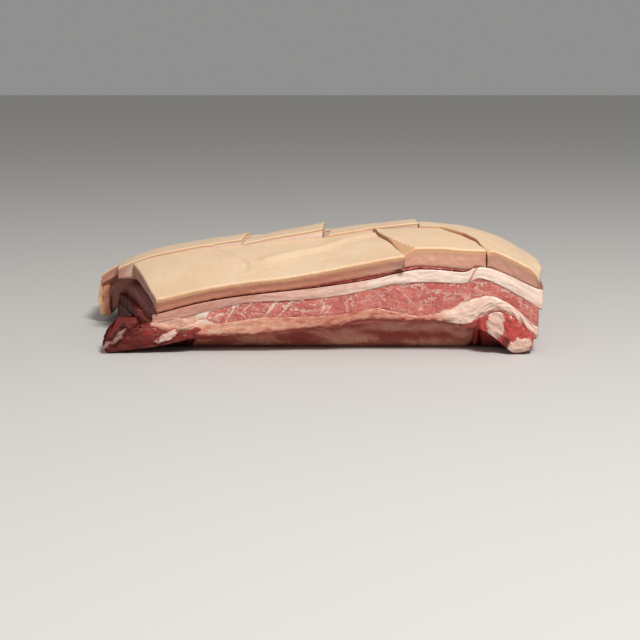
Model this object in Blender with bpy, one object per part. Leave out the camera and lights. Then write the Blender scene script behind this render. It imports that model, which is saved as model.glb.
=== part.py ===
"""Pork belly slab with a scored rind.

The slab lies arched, with its rind up.  Its front, back and end faces show the
layers of the belly, so each layer is one closed solid that runs through the food:
the scored rind with its back fat, a thin dark muscle seam, the upper fat band,
the streaky lean, the lean of the right end, the lower fat, and the trimmings that
lie under both ends.

All layers come from one cross-section drawn on the front face.  The section is
swept along the depth between the domed top and the underside, so neighbouring
layers always follow each other.

X is the length, Y is the depth (the front face looks to -Y), Z is up.
"""
import math

import bmesh
import bpy
import numpy as np
from mathutils import Vector

MM = 0.001                      # the sizes below are in millimetres

# ---------------------------------------------------------------- driving sizes
DEPTH_FRONT = -78.0             # front face of the layers
DEPTH_BACK = 78.0               # back face of the layers
FRONT_EDGE, BACK_EDGE = -78.0, 80.0     # the rind's front and back edges
CREST_DEPTH = 5.0               # the dome is highest along this line
LAYER_GAP = 0.34                # clear space between two layers
STATION_STEP = 12.0             # spacing of the mesh along the length

SCORE_WIDTH = 1.3               # width of a knife cut through the rind
SCORE_FLOOR = 0.40              # share of the cap's thickness that is left uncut
BLOCK_ROOT = 0.20               # a block starts at this share, inside the uncut floor
THINNEST_BLOCK = 7.0            # blocks that overhang an end are at least this thick
LEFT_LAST = -77.5               # the left trimmings, lobe and end lean end here
LOBE_DEPTH = -43.6              # the lobe of fat at the front left reaches back to here
END_LEAN_DEPTH = -41.4          # behind it the lean shows on the left end
WALL_BULGE = 0.8                # cut faces of the layers stand out by this in the middle
TRIM_PROUD, TRIM_BACK = 2.0, 6.0    # the left trimmings' faces: proud in front, set back
TRIM_CELLS = 9                  # cells of their mesh along the length
TRIM_GAP = 1.0                  # clear space between them and the fat above
HANGING_CORNER = (30.0, 74.0, -149.5, -142.5, 5.0)  # depth from, to; outer, inner; foot
CAP_FIRST, CAP_LAST = -98.0, 134.0      # ends of that uncut floor on the front face
RIND_ROUND = 1.2                # rounding of the rind's edge along a cut

ROW_CUTS = (-14.0, 28.0)        # the two cuts along the length part three rows of blocks
# Cuts of the front row and the right end of the rind: (depth, length).
SLANTED_CUT = [(-82, 52), (-52, 45), (-28, 37), (-14, 33)]
CURVED_CUT = [(-78, 102), (-52, 98), (-36, 91), (-18, 77), (-14, 64.5), (28, 64.5)]
RIGHT_END = [(-78, 137), (0, 140), (78, 134)]

END_CUT = 93.5                  # the cut that parts the right end through rind and fat
END_LIFT = 2.8                  # the right end has slid up by this much

# Height of the top: front edge of the rind, crest, back edge of the rind.
TOP_FRONT = [(-150, 18), (-134, 23), (-100, 33), (-73, 40), (-43, 44.8), (-12, 48.3),
             (18, 54), (50, 59.5), (70, 61.5), (92, 60.5), (104, 60), (115, 56),
             (126, 51), (137, 44.5), (150, 34)]
TOP_CREST = [(-150, 34), (-134, 43), (-115, 50), (-80, 56), (-40, 60.5), (0, 64),
             (40, 67.5), (70, 68.5), (100, 65.5), (120, 59.5), (140, 48), (150, 41)]
TOP_BACK = [(-150, 22), (-134, 28), (-100, 36), (-60, 43), (-20, 49), (30, 54.5),
            (70, 56), (100, 52.5), (125, 46), (150, 32)]

# Interfaces of the layers on the front face, from the top down: (length, height).
CAP_UNDER = [(-110, 22.8), (-100, 25.3), (-73, 32.2), (-43, 37), (-12, 40.4), (24, 45.6),
             (43, 49), (54, 52.6), (64, 52.6), (79, 51.3), (92, 50), (95, 52.6),
             (110, 47.6), (122, 42.1), (132, 37), (140, 31)]
BAND_TOP = [(-110, 20.5), (-100, 23.2), (-73, 30.4), (-43, 35.2), (-12, 38.6), (18, 42.7),
            (43, 47.4), (54, 51.1), (64, 51.5), (79, 50.3), (92, 49), (95, 52.2),
            (110, 47.2), (122, 41.7), (132, 36.6), (140, 30)]
BAND_UNDER = [(-110, 16.5), (-100, 18), (-85, 21.5), (-73, 24.6), (-64, 27.2), (-43, 31),
              (-12, 32.8), (18, 36.2), (37, 40.8), (49, 43.3), (67, 43.9), (92, 42.7),
              (95, 47.4), (110, 42.1), (122, 35.3), (132, 29), (140, 22)]
LEAN_UNDER = [(-80, 14.8), (-66, 17.3), (-57, 17.4), (-43, 20.6), (-12, 21.6), (12, 22.8),
              (25, 25.2), (37, 27.6), (49, 23.8), (61, 21.8), (78, 25.3), (88, 29),
              (98, 35.2), (110, 34.2), (116, 29.7), (123, 25.3), (130, 17.2), (136, 11)]
TAIL_TOP = [(84, 10), (92, 17), (98, 21.5), (104, 26.5), (112, 27.5), (118, 23.5),
            (124, 19), (130, 11), (136, 5)]
TAIL_UNDER = [(96, 18.1), (104, 14), (110, 7), (114, 1), (118, 0), (126, 0), (132, 5)]
TRIM_TOP = [(-134, 3.5), (-128, 12), (-120, 17), (-112, 16.5), (-104, 14.4), (-92, 13.8),
            (-84, 13.4), (-76, 11.5)]
# The left trimmings' own left end: (depth, length).
TRIM_LEFT = [(-80, -134), (-66, -132), (-58, -122), (-36, -106), (78, -106)]
UNDERSIDE = [(-134, 0), (-123, 2.2), (-105, 4.1), (-92, 6.6), (-76, 10.6), (-40, 11.6),
             (-12, 15.2), (14, 17), (29, 21.6), (49, 20), (68, 20.6), (85, 18.8),
             (96, 18), (104, 14), (110, 7), (114, 1), (118, 0), (140, 0)]

# How far a section slides to the left with depth: the left end is cut at a slant.
END_SLANT = [(-78, 0), (-40, -14), (-14, -21), (10, -28), (40, -33), (78, -31)]
# The share of that slide along the length.
SLANT_SHARE = [(-140, 0.4), (-104, 1.0), (-98, 1.0), (-60, 0.3), (-30, 0.0), (0, 0.0)]
RIGHT_SWELL = 4.0               # the right end swells by this much at mid depth

# Share of the underside's lip that is left at each depth: behind the lip the
# underside comes down and rests flat.
LIP = [(-78, 1), (-74, 1), (-70, 0.78), (-66, 0.45), (-62, 0.16), (-58, 0),
       (60, 0), (64, 0.12), (68, 0.3), (72, 0.45), (78, 0.5)]
BLOCK_STATIONS = [-66, 10, 45, 62]
DEPTH_STATIONS = [-74, -70, -66, -62, -58, -36, -14, 10, 34, 60, 64, 68, 72]


def curve(points):
    """A smooth curve through a few points that never overshoots them."""
    xs = np.array([p[0] for p in points], float)
    ys = np.array([p[1] for p in points], float)
    step = np.diff(xs)
    slope = np.diff(ys) / step
    tangent = np.zeros(len(xs))
    tangent[0], tangent[-1] = slope[0], slope[-1]
    for k in range(1, len(xs) - 1):
        if slope[k - 1] * slope[k] > 0:
            w1 = 2 * step[k] + step[k - 1]
            w2 = step[k] + 2 * step[k - 1]
            tangent[k] = (w1 + w2) / (w1 / slope[k - 1] + w2 / slope[k])

    def value(x):
        x = min(max(x, xs[0]), xs[-1])
        k = min(max(int(np.searchsorted(xs, x)) - 1, 0), len(step) - 1)
        t = (x - xs[k]) / step[k]
        return float(ys[k] * (1 + 2 * t) * (1 - t) ** 2 + tangent[k] * step[k] * t * (1 - t) ** 2
                     + ys[k + 1] * t * t * (3 - 2 * t) - tangent[k + 1] * step[k] * t * t * (1 - t))
    return value


def straight(points):
    """Straight runs between a few points."""
    xs = [p[0] for p in points]
    ys = [p[1] for p in points]
    return lambda x: float(np.interp(x, xs, ys))


top_front, top_crest, top_back = curve(TOP_FRONT), curve(TOP_CREST), curve(TOP_BACK)
cap_under, band_top, band_under = curve(CAP_UNDER), curve(BAND_TOP), curve(BAND_UNDER)
lean_under, tail_top = curve(LEAN_UNDER), curve(TAIL_TOP)
trim_left = straight(TRIM_LEFT)
tail_under, trim_top, underside = curve(TAIL_UNDER), curve(TRIM_TOP), curve(UNDERSIDE)
end_slant, slant_share, lip = curve(END_SLANT), curve(SLANT_SHARE), straight(LIP)


def fat_under(x):
    """The lower fat rests on the ground, and at the right on the tail of lean."""
    return max(underside(x), tail_top(x))


def dome(x, y):
    """Height of the rind: a parabola across the depth through three long curves."""
    front, crest, back = DEPTH_FRONT, CREST_DEPTH, DEPTH_BACK
    return (top_front(x) * (y - crest) * (y - back) / ((front - crest) * (front - back))
            + top_crest(x) * (y - front) * (y - back) / ((crest - front) * (crest - back))
            + top_back(x) * (y - front) * (y - crest) / ((back - front) * (back - crest)))


def slide(x, y):
    """Where a point of the section goes along the length, at a given depth."""
    swell = RIGHT_SWELL * math.cos(math.pi * y / 160.0) * min(max((x - 100.0) / 37.0, 0.0), 1.0)
    return x + end_slant(y) * slant_share(x) + swell


def section_length(along, y):
    """The section point that slides to this place: the inverse of slide."""
    low, high = -200.0, 200.0
    for _ in range(40):
        middle = (low + high) / 2.0
        low, high = (middle, high) if slide(middle, y) < along else (low, middle)
    return (low + high) / 2.0


def cap_share(x, share):
    """A height inside the cap on the front face: 0 is its underside, 1 the rind."""
    return cap_under(x) + share * (top_front(x) - cap_under(x))


def swept(x, height, y):
    """The point of the slab for a section point (x, height), at depth y."""
    along = slide(x, y)
    share = (height - underside(x)) / (top_front(x) - underside(x))
    floor = underside(x) * lip(y)
    return along, y, floor + share * (dome(along, y) - floor)


# ---------------------------------------------------------------- building
def clear_scene():
    for item in list(bpy.data.objects):
        bpy.data.objects.remove(item, do_unlink=True)


def material(name, colour, roughness):
    made = bpy.data.materials.new(name)
    made.use_nodes = True
    shader = made.node_tree.nodes["Principled BSDF"]
    shader.inputs["Base Color"].default_value = (*colour, 1.0)
    shader.inputs["Roughness"].default_value = roughness
    shader.inputs["Metallic"].default_value = 0.0
    return made


def stations(first, last, shared):
    """The shared stations that lie between two ends, and the ends themselves."""
    inner = sorted(s for s in set(shared) if first + 1.0 < s < last - 1.0)
    return [first] + inner + [last]


def solid_from_sheet(name, finish, columns, rows, under, over, bulge=0.0, rind=0.0):
    """A closed layer between two surfaces.

    columns and rows count the cells; under(i, j) and over(i, j) give the points of
    the two surfaces.  The side walls get a middle line that stands out by bulge,
    and the upper rim is bevelled by rind.
    """
    sheet = bmesh.new()
    bmesh.ops.create_grid(sheet, x_segments=columns, y_segments=rows, size=1.0)

    def cell(vertex):
        return (round((vertex.co.x + 1.0) / 2.0 * columns),
                round((vertex.co.y + 1.0) / 2.0 * rows))

    lower = {vertex: cell(vertex) for vertex in sheet.verts}
    raised = bmesh.ops.extrude_face_region(sheet, geom=list(sheet.faces))["geom"]
    upper = {item: cell(item) for item in raised if isinstance(item, bmesh.types.BMVert)}
    for vertex, place in lower.items():
        vertex.co = under(*place)
    for vertex, place in upper.items():
        vertex.co = over(*place)
    if bulge:
        bulge_walls(sheet, lower, upper, bulge)
    if rind:
        rim = [edge for edge in sheet.edges if all(v in upper for v in edge.verts)
               and sum(all(v in upper for v in face.verts) for face in edge.link_faces) == 1]
        bmesh.ops.bevel(sheet, geom=rim, offset=rind, segments=1, affect="EDGES",
                        clamp_overlap=True)
    bmesh.ops.recalc_face_normals(sheet, faces=list(sheet.faces))
    mesh = bpy.data.meshes.new(name)
    sheet.to_mesh(mesh)
    sheet.free()
    mesh.materials.append(finish)
    item = bpy.data.objects.new(name, mesh)
    bpy.context.scene.collection.objects.link(item)
    return item


def bulge_walls(sheet, lower, upper, bulge):
    """Cut the side walls half way up and push that line outwards."""
    middle = sum((vertex.co for vertex in lower), Vector()) / len(lower)
    half_size = [max(abs(vertex.co[axis] - middle[axis]) for vertex in lower) for axis in (0, 1)]
    walls = [e for e in sheet.edges if (e.verts[0] in upper) != (e.verts[1] in upper)]
    cut = bmesh.ops.subdivide_edges(sheet, edges=walls, cuts=1, use_grid_fill=True)
    for vertex in (g for g in cut["geom_inner"] if isinstance(g, bmesh.types.BMVert)):
        away = vertex.co - middle
        axis = 0 if abs(away.x) / half_size[0] > abs(away.y) / half_size[1] else 1
        vertex.co[axis] += math.copysign(bulge, away[axis])


def layer(name, finish, first, last, under, over, front=0.0, back=0.0, bulge=0.0):
    """A layer of the section between two lengths, swept along the depth.

    front and back set the layer's faces back from the slab's own front and back.
    """
    shared = [END_CUT + 1.5 + STATION_STEP * k for k in range(-20, 5)] + [END_CUT - 1.5]
    along = stations(first, last, shared)
    deep = stations(DEPTH_FRONT + front, DEPTH_BACK - back, DEPTH_STATIONS)

    def point(i, j, surface, side):
        height = surface(along[i])
        on_ground = height < underside(along[i]) + 0.1
        x, y, z = swept(along[i], height, deep[j])
        return x * MM, y * MM, max(z if on_ground else z + side * LAYER_GAP / 2.0, 0.0) * MM

    return solid_from_sheet(name, finish, len(along) - 1, len(deep) - 1,
                            lambda i, j: point(i, j, under, 1.0),
                            lambda i, j: point(i, j, over, -1.0), bulge * MM)


def left_trim(name, finish):
    """The trimmings under the left end: a flap in front that narrows with depth."""
    deep = stations(DEPTH_FRONT - TRIM_PROUD, DEPTH_BACK - TRIM_BACK, DEPTH_STATIONS)

    def point(i, j, surface, gap):
        start = trim_left(deep[j])
        length = start + (LEFT_LAST - start) * i / TRIM_CELLS
        x, y, z = swept(length, surface(length), deep[j])
        return x * MM, y * MM, max(z - gap, 0.0) * MM

    return solid_from_sheet(name, finish, TRIM_CELLS, len(deep) - 1,
                            lambda i, j: point(i, j, underside, 0.0),
                            lambda i, j: point(i, j, trim_top, TRIM_GAP), WALL_BULGE * MM)


def rind_block(name, finish, depth, left, right, lift=(0.0, 0.0)):
    """One block of scored rind between a left and a right cut.

    left and right are (depth, length) points of the cuts; lift raises the block's
    left and right end above the dome.
    """
    first, last = depth
    left_cut, right_cut = straight(left), straight(right)
    deep = stations(first, last, [d for d, _ in left + right] + BLOCK_STATIONS)
    length = right_cut((first + last) / 2.0) - left_cut((first + last) / 2.0)
    count = max(2, round(length / STATION_STEP))

    def place(i, j):
        y = deep[j]
        x = left_cut(y) + (right_cut(y) - left_cut(y)) * i / count
        return x, y, lift[0] + (lift[1] - lift[0]) * i / count

    def top(i, j):
        x, y, raised = place(i, j)
        return x * MM, y * MM, (dome(x, y) + raised) * MM

    def root(i, j):
        x, y, _ = place(i, j)
        section_x = min(max(section_length(x, y), CAP_FIRST), CAP_LAST)
        height = swept(section_x, cap_share(section_x, BLOCK_ROOT), y)[2]
        return x * MM, y * MM, min(height, dome(x, y) - THINNEST_BLOCK) * MM

    return solid_from_sheet(name, finish, count, len(deep) - 1, root, top,
                            rind=RIND_ROUND * MM)


def hanging_corner(finish):
    """The corner of rind that hangs down over the far left end."""
    near, far, outer, inner, foot = HANGING_CORNER
    cells = 3

    def foot_at(y):
        return foot + 0.06 * abs(y - (near + far) / 2.0)

    def head_at(y):
        return dome(outer, y) - RIND_ROUND

    def point(i, j, height):
        y = near + (far - near) * j / cells
        return (outer + (inner - outer) * i) * MM, y * MM, height(y) * MM

    return solid_from_sheet("hanging_corner", finish, 1, cells,
                            lambda i, j: point(i, j, foot_at),
                            lambda i, j: point(i, j, head_at))


def unite(base, parts, name):
    """Join overlapping solids into one with exact Booleans."""
    group = bpy.data.collections.new(name + "_parts")
    for part in parts:
        bpy.context.scene.collection.objects.unlink(part)
        group.objects.link(part)
    join = base.modifiers.new("join the blocks", "BOOLEAN")
    join.operation = "UNION"
    join.operand_type = "COLLECTION"
    join.collection = group
    join.solver = "EXACT"
    bpy.context.view_layer.update()
    joined = bpy.data.meshes.new_from_object(base.evaluated_get(
        bpy.context.evaluated_depsgraph_get()))
    base.modifiers.clear()
    base.data = joined
    base.name = name
    for part in parts:
        bpy.data.objects.remove(part, do_unlink=True)
    bpy.data.collections.remove(group)
    return base


def scored_cap(finish):
    """The rind with its back fat, cut into blocks that stay joined below."""
    half = SCORE_WIDTH / 2.0
    front, middle, back = FRONT_EDGE, ROW_CUTS[0], ROW_CUTS[1]
    base = layer("scored_rind_cap", finish, CAP_FIRST, CAP_LAST, cap_under,
                 lambda x: cap_share(x, SCORE_FLOOR), front=2.0, back=2.0)

    def row(name, near, far, left, right, lift=(0.0, 0.0)):
        """A block between two cuts across the depth, each given at near and far."""
        return rind_block(name, finish, (near + half, far - half),
                          [(near, left[0] + half), (far, left[1] + half)],
                          [(near, right[0] - half), (far, right[1] - half)], lift)

    def moved(cut, by):
        return [(depth, x + by) for depth, x in cut]

    blocks = [
        rind_block("front_long", finish, (front - 3.0, middle - half),
                   [(front - 3.0, -100), (middle, -122)], moved(SLANTED_CUT, -half)),
        rind_block("front_short", finish, (front + 3.0, -18 - half),
                   moved(SLANTED_CUT, half), moved(CURVED_CUT, -half), (2.6, 1.2)),
        rind_block("right", finish, (front, back - half),
                   moved(CURVED_CUT, half), RIGHT_END, (2.8, 1.5)),
        row("middle_left", middle, back, (-132, -137), (-51, -47), (1.0, 4.0)),
        row("middle_raised", middle, back, (-51, -47), (1.6, 3.6), (1.0, 6.2)),
        row("middle_crest", middle, back, (5.4, 7.4), (63.6, 63.6), (1.5, 4.6)),
        row("back_left", back, BACK_EDGE, (-149, -150), (-87, -93)),
        hanging_corner(finish),
        row("back_second", back, BACK_EDGE + 1.0, (-87, -93), (-21, -29), (1.0, 2.0)),
        row("back_third", back, BACK_EDGE, (-21, -29), (47, 39), (1.5, 0.5)),
        row("back_right", back, BACK_EDGE - 1.0, (47, 39), (138, 134), (1.0, 0.0)),
    ]
    return unite(base, blocks, "scored_rind_cap")


def build():
    clear_scene()
    rind = material("rind", (0.86, 0.62, 0.40), 0.42)
    white_fat = material("white_fat", (0.86, 0.70, 0.60), 0.35)
    pink_fat = material("pink_fat", (0.66, 0.38, 0.29), 0.35)
    seam = material("dark_muscle", (0.25, 0.05, 0.04), 0.35)
    lean = material("streaky_lean", (0.54, 0.17, 0.14), 0.30)
    trim = material("dark_lean", (0.42, 0.09, 0.07), 0.30)

    scored_cap(rind)
    layer("thin_muscle_seam", seam, -97, END_CUT - 2.5, band_top, cap_under, 2.0, 2.0)
    layer("upper_fat_band", white_fat, -104, 137, band_under, band_top, bulge=WALL_BULGE)
    layer("streaky_lean", lean, LEFT_LAST + 1.5, END_CUT - 2.0, lean_under, band_under,
          0.6, 0.6, WALL_BULGE)
    layer("right_end_lean", lean, END_CUT - 0.5, 134, lean_under, band_under,
          0.6, 0.6, WALL_BULGE)
    layer("lower_fat", pink_fat, LEFT_LAST + 1.5, 134, fat_under, lean_under,
          bulge=WALL_BULGE)
    layer("tail_lean", trim, 97, 131, tail_under, tail_top, -5.0, 4.0, WALL_BULGE)
    layer("left_fat", pink_fat, -104, LEFT_LAST, trim_top, band_under,
          0.0, DEPTH_BACK - LOBE_DEPTH, WALL_BULGE)
    layer("left_end_lean", trim, -105, LEFT_LAST, trim_top, band_under,
          END_LEAN_DEPTH - DEPTH_FRONT, 2.0, WALL_BULGE)
    left_trim("left_trim", trim)


build()
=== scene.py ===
# %% [markdown]
# # A pork belly slab, from frame to finish
# The slab is a raw piece of belly with its rind up.  Its sides show, from the top
# down, the scored rind with its back fat, a thin dark muscle, a band of white fat,
# a thick streaky lean and the soft lower fat, with trimmings under both ends.
# The frame holds those layers as plain solids of the right size.  This lesson
# measures them and builds the real surfaces around them, one layer at a time.

# %% Load the frame
import math

import bmesh
import bpy
import numpy as np
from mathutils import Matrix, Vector, noise
from mathutils.bvhtree import BVHTree


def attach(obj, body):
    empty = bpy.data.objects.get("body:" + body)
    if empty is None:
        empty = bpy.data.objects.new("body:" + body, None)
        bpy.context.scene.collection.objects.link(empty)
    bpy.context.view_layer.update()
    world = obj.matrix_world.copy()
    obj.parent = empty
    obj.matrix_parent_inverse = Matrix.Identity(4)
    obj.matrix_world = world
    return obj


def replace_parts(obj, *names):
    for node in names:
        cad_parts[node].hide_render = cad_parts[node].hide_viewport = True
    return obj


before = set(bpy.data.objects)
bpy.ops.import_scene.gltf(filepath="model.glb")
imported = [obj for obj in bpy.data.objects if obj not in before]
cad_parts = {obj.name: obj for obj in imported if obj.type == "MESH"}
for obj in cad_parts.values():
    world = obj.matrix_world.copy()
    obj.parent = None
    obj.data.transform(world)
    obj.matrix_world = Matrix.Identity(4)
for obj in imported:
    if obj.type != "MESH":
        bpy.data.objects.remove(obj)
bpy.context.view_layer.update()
MM = 0.001                      # every length below is in millimetres
print("layers in the frame:", ", ".join(sorted(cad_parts)))

# %% [markdown]
# ## Measuring a layer
# A real slab has no gaps between its layers, so each layer is read off its solid:
# where its sides run in plan, and how high it lies there.  The plan comes from
# slices across the solid, and the heights from straight lines dropped through it.

# %% Straight lines through the solids
PROBE = 200                     # a line starts this far above or below the slab


def tree_of(node):
    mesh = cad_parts[node].data
    points = [vertex.co / MM for vertex in mesh.vertices]
    return BVHTree.FromPolygons(points, [face.vertices[:] for face in mesh.polygons])


trees = {node: tree_of(node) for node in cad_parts}


def height_over(node, x, y):
    """Height of a layer's upper surface, or nan beside it."""
    place = trees[node].ray_cast(Vector((x, y, PROBE)), Vector((0, 0, -1)))[0]
    return math.nan if place is None else place.z


def height_under(node, x, y):
    """Height of a layer's lower surface, or nan beside it."""
    place = trees[node].ray_cast(Vector((x, y, -PROBE)), Vector((0, 0, 1)))[0]
    return math.nan if place is None else place.z


def heights(measure, node, places):
    """Heights along a closed line of places; where there is none, from its neighbours."""
    found = np.array([measure(node, x, y) for x, y in places])
    known = ~np.isnan(found)
    index = np.arange(len(found))
    return np.interp(index, index[known], found[known], period=len(found))


print("top of the rind in the middle: %.1f mm" % height_over("scored_rind_cap", 30, 0))

# %% Closed lines in plan
def even(line, step):
    """The same closed line with points at even steps."""
    closed = np.vstack([line, line[:1]])
    run = np.concatenate([[0], np.cumsum(np.hypot(*np.diff(closed, axis=0).T))])
    at = np.linspace(0, run[-1], round(run[-1] / step), endpoint=False)
    return np.column_stack([np.interp(at, run, closed[:, k]) for k in (0, 1)])


def soften(values, width):
    """A closed row of values averaged over a bell of this many places."""
    if width < 0.5:
        return values
    reach = np.arange(-int(3 * width), int(3 * width) + 1)
    bell = np.exp(-0.5 * (reach / width) ** 2)
    bell /= bell.sum()
    return sum(share * np.roll(values, -k, axis=0) for k, share in zip(reach, bell))


def outward(line):
    """Unit directions that point out of a closed line that runs anticlockwise."""
    ahead = np.roll(line, -1, axis=0) - np.roll(line, 1, axis=0)
    ahead /= np.hypot(*ahead.T)[:, None]
    return np.column_stack([ahead[:, 1], -ahead[:, 0]])


def plan_of(node, slices=48):
    """The outline of a layer in plan, from slices: along its right side and back on the left."""
    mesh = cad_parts[node].data
    points = np.array([vertex.co for vertex in mesh.vertices]) / MM
    one, two = points[np.array([edge.vertices[:] for edge in mesh.edges])].transpose(1, 0, 2)
    left, right = [], []
    inside = 0.02
    for depth in np.linspace(points[:, 1].min() + inside, points[:, 1].max() - inside, slices):
        cut = (one[:, 1] - depth) * (two[:, 1] - depth) < 0
        share = (depth - one[cut, 1]) / (two[cut, 1] - one[cut, 1])
        lengths = one[cut, 0] + share * (two[cut, 0] - one[cut, 0])
        left.append((lengths.min(), depth))
        right.append((lengths.max(), depth))
    return np.array(right + left[::-1])


HALVED = 2 ** 4                 # the rings of a shell lose half their points up to four times


def spaced(line, front, ends, back, corner=3.0):
    """Pick points from a fine line: close together in front, wider apart elsewhere."""
    low, high = line[:, 1].min() + corner, line[:, 1].max() - corner
    wanted = np.where(line[:, 1] < low, front, np.where(line[:, 1] > high, back, ends))
    run = np.cumsum(np.hypot(*(np.roll(line, -1, axis=0) - line).T) / wanted)
    count = int(run[-1] // HALVED) * HALVED
    at = np.linspace(0, run[-1], count, endpoint=False)
    return np.column_stack([np.interp(at, run, line[:, k], period=run[-1]) for k in (0, 1)])


def side_line(node, front=0.55, ends=1.0, back=1.2, inset=0.0, corner=1.6):
    """The line that a layer's side face follows, with rounded corners."""
    fine = 0.25
    line = soften(even(plan_of(node), fine), corner / fine)
    line = line - outward(line) * inset
    return spaced(line, front, ends, back)


def run_along(line):
    """Distance along a closed line, from its first point."""
    return np.concatenate([[0], np.cumsum(np.hypot(*np.diff(line, axis=0).T))])


print("points round the lean:", len(side_line("streaky_lean")))

# %% [markdown]
# ## A shell made of rings
# Every piece of the slab is a closed shell.  It could be sculpted by hand, but rings
# of points are easier to steer: one ring for each height of the side face, and then
# rings that shrink over the top and the bottom.  Neighbouring rings are joined with
# squares, and where few points are enough a ring has half as many as the last one.

# %% The shell
class Shell:
    """Points, faces and facts of a closed piece, collected ring by ring."""

    def __init__(self):
        self.points, self.faces, self.facts = [], [], []

    def ring(self, points, **facts):
        first = sum(len(p) for p in self.points)
        self.points.append(np.asarray(points, float))
        self.facts.append(facts)
        return np.arange(first, first + len(points))

    def join(self, lower, upper):
        """Squares between two rings of the same count."""
        self.faces += list(zip(lower, np.roll(lower, -1), np.roll(upper, -1), upper))

    def wall(self, rings):
        """Squares between each ring and the next."""
        for one, other in zip(rings, rings[1:]):
            self.join(one, other)

    def halve(self, wide, narrow):
        """Triangles between a ring and one with half its points."""
        a, b, c = wide[0::2], wide[1::2], np.roll(wide[0::2], -1)
        d, e = narrow, np.roll(narrow, -1)
        self.faces += list(zip(a, b, d)) + list(zip(b, e, d)) + list(zip(b, c, e))

    def lid(self, ring):
        self.faces.append(tuple(ring))

    def close(self, ring, points, heart, height, steps, tell):
        """Close a shell from its last ring inwards, towards a line in its middle.

        heart gives the inner end of each point's way; steps are (distance or share
        of the way, halve or not); height gives the surface at a place in plan, and
        tell the facts there.
        """
        plan = points[:, :2]
        for reach, halves in steps:
            if halves:
                plan, heart = plan[0::2], heart[0::2]
            way = heart - plan
            length = np.hypot(*way.T)[:, None]
            share = reach if reach < 1 else np.minimum(reach / np.maximum(length, 0.1), 0.85)
            place = plan + way * share
            high = height(place)
            inner = self.ring(np.column_stack([place, high]), **tell(place, high))
            (self.halve if halves else self.join)(ring, inner)
            ring = inner
        self.lid(ring)

    def piece(self, name, finish, slot, crease=50.0):
        """Make the object, facing out, and let it ride on the frame."""
        points = np.vstack(self.points) * MM
        mesh = bpy.data.meshes.new(name)
        mesh.from_pydata(points.tolist(), [], [tuple(int(i) for i in f) for f in self.faces])
        for fact in sorted({key for facts in self.facts for key in facts}):
            rows = [np.asarray(facts.get(fact, np.zeros(len(p)))) for facts, p
                    in zip(self.facts, self.points)]
            wide = max(row.ndim for row in rows) == 2
            if wide:
                rows = [row if row.ndim == 2 else np.zeros((len(row), 3)) for row in rows]
            made = mesh.attributes.new(fact, "FLOAT_VECTOR" if wide else "FLOAT", "POINT")
            made.data.foreach_set("vector" if wide else "value",
                                  np.concatenate(rows).astype(np.float32).ravel())
        return finished(mesh, name, finish, crease)


def finished(mesh, name, finish, crease=50.0):
    """Turn a closed mesh outwards, shade it and make it part of the slab."""
    work = bmesh.new()
    work.from_mesh(mesh)
    bmesh.ops.recalc_face_normals(work, faces=work.faces)
    work.to_mesh(mesh)
    work.free()
    mesh.shade_smooth()
    mesh.set_sharp_from_angle(angle=math.radians(crease))
    mesh.materials.append(finish)
    item = bpy.data.objects.new(name, mesh)
    bpy.context.scene.collection.objects.link(item)
    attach(item, "root")
    print(f"{name}: {len(mesh.vertices)} points, {len(mesh.polygons)} faces")
    return item


def columns(a, b, c=0.0):
    """Three columns, such as places in space; a plain number fills its column."""
    return np.column_stack(np.broadcast_arrays(a, b, c))


def cloud(points, size, octaves=2, seed=0.0):
    """Soft noise from -1 to 1; size is the width of one blot in millimetres."""
    shift = Vector((seed * 17.3, seed * 5.1, seed * 9.7))
    size = np.broadcast_to(np.asarray(size, float), (3,))
    scaled = np.asarray(points, float) / size
    return np.array([noise.fractal(Vector(p) + shift, 1.0, 2.0, octaves) for p in scaled])


def bump(x):
    """1 in the middle of 0..1 and 0 at both ends."""
    return 1.0 - (2.0 * x - 1.0) ** 2


def step(x, low, high):
    """0 below low, 1 above high and smooth between."""
    t = np.clip((x - low) / (high - low), 0.0, 1.0)
    return t * t * (3.0 - 2.0 * t)


# %% [markdown]
# ## Tools for finishes
# Flesh is never one colour.  A finish mixes a few colours with masks, and the masks
# come from the same few effects: slow drifts, fine strands, threads of fat and the
# wet film.  Each effect is a node group, built once and placed in many finishes.

# %% Short ways to place nodes
def feed(tree, socket, value):
    """Link a node's output to a socket, or set the socket's own value."""
    if isinstance(value, bpy.types.NodeSocket):
        tree.links.new(value, socket)
    else:
        socket.default_value = value


def add(tree, kind, inputs=None, **properties):
    """Place a node; an input is a value or the socket that feeds it."""
    made = tree.nodes.new("ShaderNode" + kind)
    made.location = (200 * len(tree.nodes), 0)
    for key, value in properties.items():
        setattr(made, key, value)
    for key, value in (inputs or {}).items():
        feed(tree, made.inputs[key], value)
    return made


def calc(tree, operation, a, b=0.0, clamp=False):
    return add(tree, "Math", {0: a, 1: b}, operation=operation, use_clamp=clamp).outputs[0]


def ramp(tree, value, low, high, start=0.0, end=1.0):
    """Smooth change from start to end while value goes from low to high."""
    return add(tree, "MapRange", {"Value": value, "From Min": low, "From Max": high,
                                  "To Min": start, "To Max": end},
               interpolation_type="SMOOTHSTEP").outputs[0]


def mixed(tree, share, first, second):
    """A colour between two colours."""
    first, second = ((*c, 1.0) if isinstance(c, tuple) else c for c in (first, second))
    return add(tree, "Mix", {0: share, 6: first, 7: second}, data_type="RGBA").outputs[2]


def fact(tree, name, output="Fac"):
    """What the rings of a shell say about a place, such as how much fat lies there."""
    return add(tree, "Attribute", attribute_name=name).outputs[output]


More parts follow.
